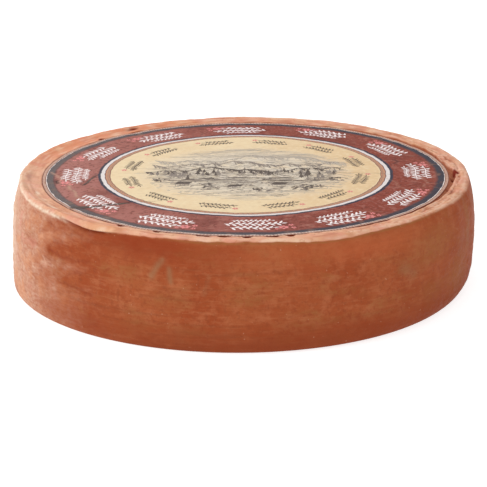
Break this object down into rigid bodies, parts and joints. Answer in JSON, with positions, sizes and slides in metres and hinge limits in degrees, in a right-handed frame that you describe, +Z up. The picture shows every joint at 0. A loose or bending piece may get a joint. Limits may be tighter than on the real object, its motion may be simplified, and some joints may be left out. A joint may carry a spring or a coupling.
{
  "type": "whole cheese wheel with a paper label",
  "caption": "Whole wheel of semi-soft washed-rind cheese with a large round printed paper label set inside a low raised rim.",
  "frame": {"origin": "centre of the wheel's outline seen from above, on the surface that it stands on", "axes": "+Z up through the wheel, from the base to the label; -Y towards the side that the picture shows"},
  "size_m": [0.3638, 0.3584, 0.0826],
  "materials": {
    "rind": "orange-brown washed cheese rind, matte with a faint waxy sheen",
    "printed_paper": "printed paper, satin, creased by the rind under it"
  },
  "bodies": {
    "root": {"cheese_wheel": "rind", "paper_label": "printed_paper"}
  },
  "joints": []
}
